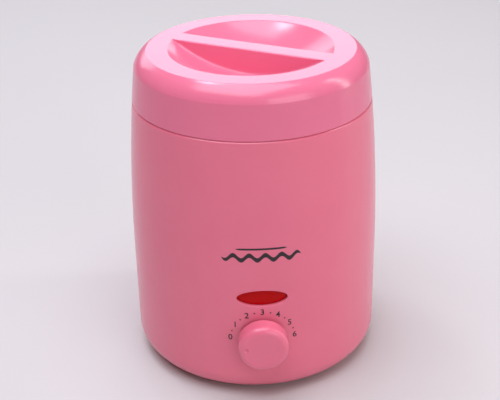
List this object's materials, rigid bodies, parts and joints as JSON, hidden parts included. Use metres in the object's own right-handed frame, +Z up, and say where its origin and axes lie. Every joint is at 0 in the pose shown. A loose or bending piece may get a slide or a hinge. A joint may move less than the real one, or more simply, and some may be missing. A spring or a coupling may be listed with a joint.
{
  "type": "wax warmer pot",
  "caption": "Barrel-shaped electric wax warmer with lift-off lid, lift-out pot with folding bail, dial thermostat and red window.",
  "frame": {"origin": "on the barrel's vertical axis, at the surface that the four feet stand on", "axes": "+Z up along the barrel's axis, -Y out of the front where the knob is, +X to the right of someone facing the front"},
  "size_m": [0.118, 0.1274, 0.1517],
  "materials": {
    "lid_plastic": "glossy moulded ABS, pink",
    "housing_plastic": "glossy moulded ABS, pink",
    "knob_plastic": "glossy moulded ABS, pink",
    "base_plastic": "satin moulded ABS, pink",
    "lens_plastic": "clear red polycarbonate",
    "foot_rubber": "matt black rubber",
    "gland_plastic": "matt black rubber and nylon",
    "screw_steel": "zinc-plated steel",
    "spring_steel": "bright spring steel",
    "sheet_steel": "galvanised sheet",
    "shaft_metal": "turned steel",
    "brass": "plain brass",
    "well_aluminium": "spun aluminium",
    "pot_aluminium": "spun aluminium, satin",
    "bail_wire": "plated steel wire",
    "mica": "mica sheet",
    "glass_fibre": "needled glass fibre",
    "ceramic": "steatite ceramic",
    "nylon": "natural nylon",
    "bakelite": "brown phenolic",
    "lamp_glass": "clear glass",
    "lead_brown": "silicone insulation",
    "lead_blue": "silicone insulation",
    "lead_white": "silicone insulation",
    "lead_green": "silicone insulation"
  },
  "bodies": {
    "root": {"housing": "housing_plastic", "base_plate": "base_plastic", "indicator_lens": "lens_plastic", "rubber_foot_1": "foot_rubber", "rubber_foot_2": "foot_rubber", "rubber_foot_3": "foot_rubber", "rubber_foot_4": "foot_rubber", "cord_gland": "gland_plastic", "gland_nut": "gland_plastic", "base_screws": "screw_steel", "holder_screws": "screw_steel", "clip_screws": "screw_steel", "clamp_screw": "screw_steel", "clamp_nut": "screw_steel", "bracket_nuts": "screw_steel", "fuse_nut": "screw_steel", "block_screws": "screw_steel", "thermostat_nut": "screw_steel", "thermostat_blade": "spring_steel", "thermostat_bracket": "sheet_steel", "well_clips": "sheet_steel", "heater_clamp": "sheet_steel", "fuse_clip": "sheet_steel", "thermostat_bush": "brass", "thermostat_terminals": "brass", "terminal_screws": "brass", "heating_well": "well_aluminium", "heater_band": "mica", "insulation_sleeve": "glass_fibre", "well_gasket": "glass_fibre", "heater_terminals": "ceramic", "thermal_fuse": "ceramic", "lamp_holder": "nylon", "terminal_block": "nylon", "tab_receptacles": "nylon", "thermostat_body": "bakelite", "neon_lamp": "lamp_glass", "live_lead": "lead_brown", "neutral_lead": "lead_blue", "lamp_leads": "lead_blue", "switched_lead": "lead_white", "heater_lead": "lead_white", "earth_lead": "lead_green"},
    "knob": {"control_knob": "knob_plastic", "knob_clip": "spring_steel", "thermostat_shaft": "shaft_metal"},
    "pot": {"wax_pot": "pot_aluminium", "pot_ears": "pot_aluminium"},
    "lid": {"lid": "lid_plastic"},
    "bail": {"pot_bail": "bail_wire"}
  },
  "joints": [
    {"name": "knob_turn", "type": "hinge", "parent": "root", "child": "knob", "pos_m": [0, -0.064, 0.032], "axis": [0, 1, 0], "range_deg": [0, 171]},
    {"name": "pot_lift", "type": "slide", "parent": "root", "child": "pot", "axis": [0, 0, 1], "range_m": [0, 0.09]},
    {"name": "lid_lift", "type": "slide", "parent": "pot", "child": "lid", "axis": [0, 0, 1], "range_m": [0, 0.11]},
    {"name": "bail_swing", "type": "hinge", "parent": "pot", "child": "bail", "pos_m": [0, 0, 0.1288], "axis": [1, 0, 0], "range_deg": [0, 185.17]}
  ],
  "couplings": [
    {"joint": "bail_swing", "follows": "lid_lift", "rad_per_m": 29.38}
  ]
}
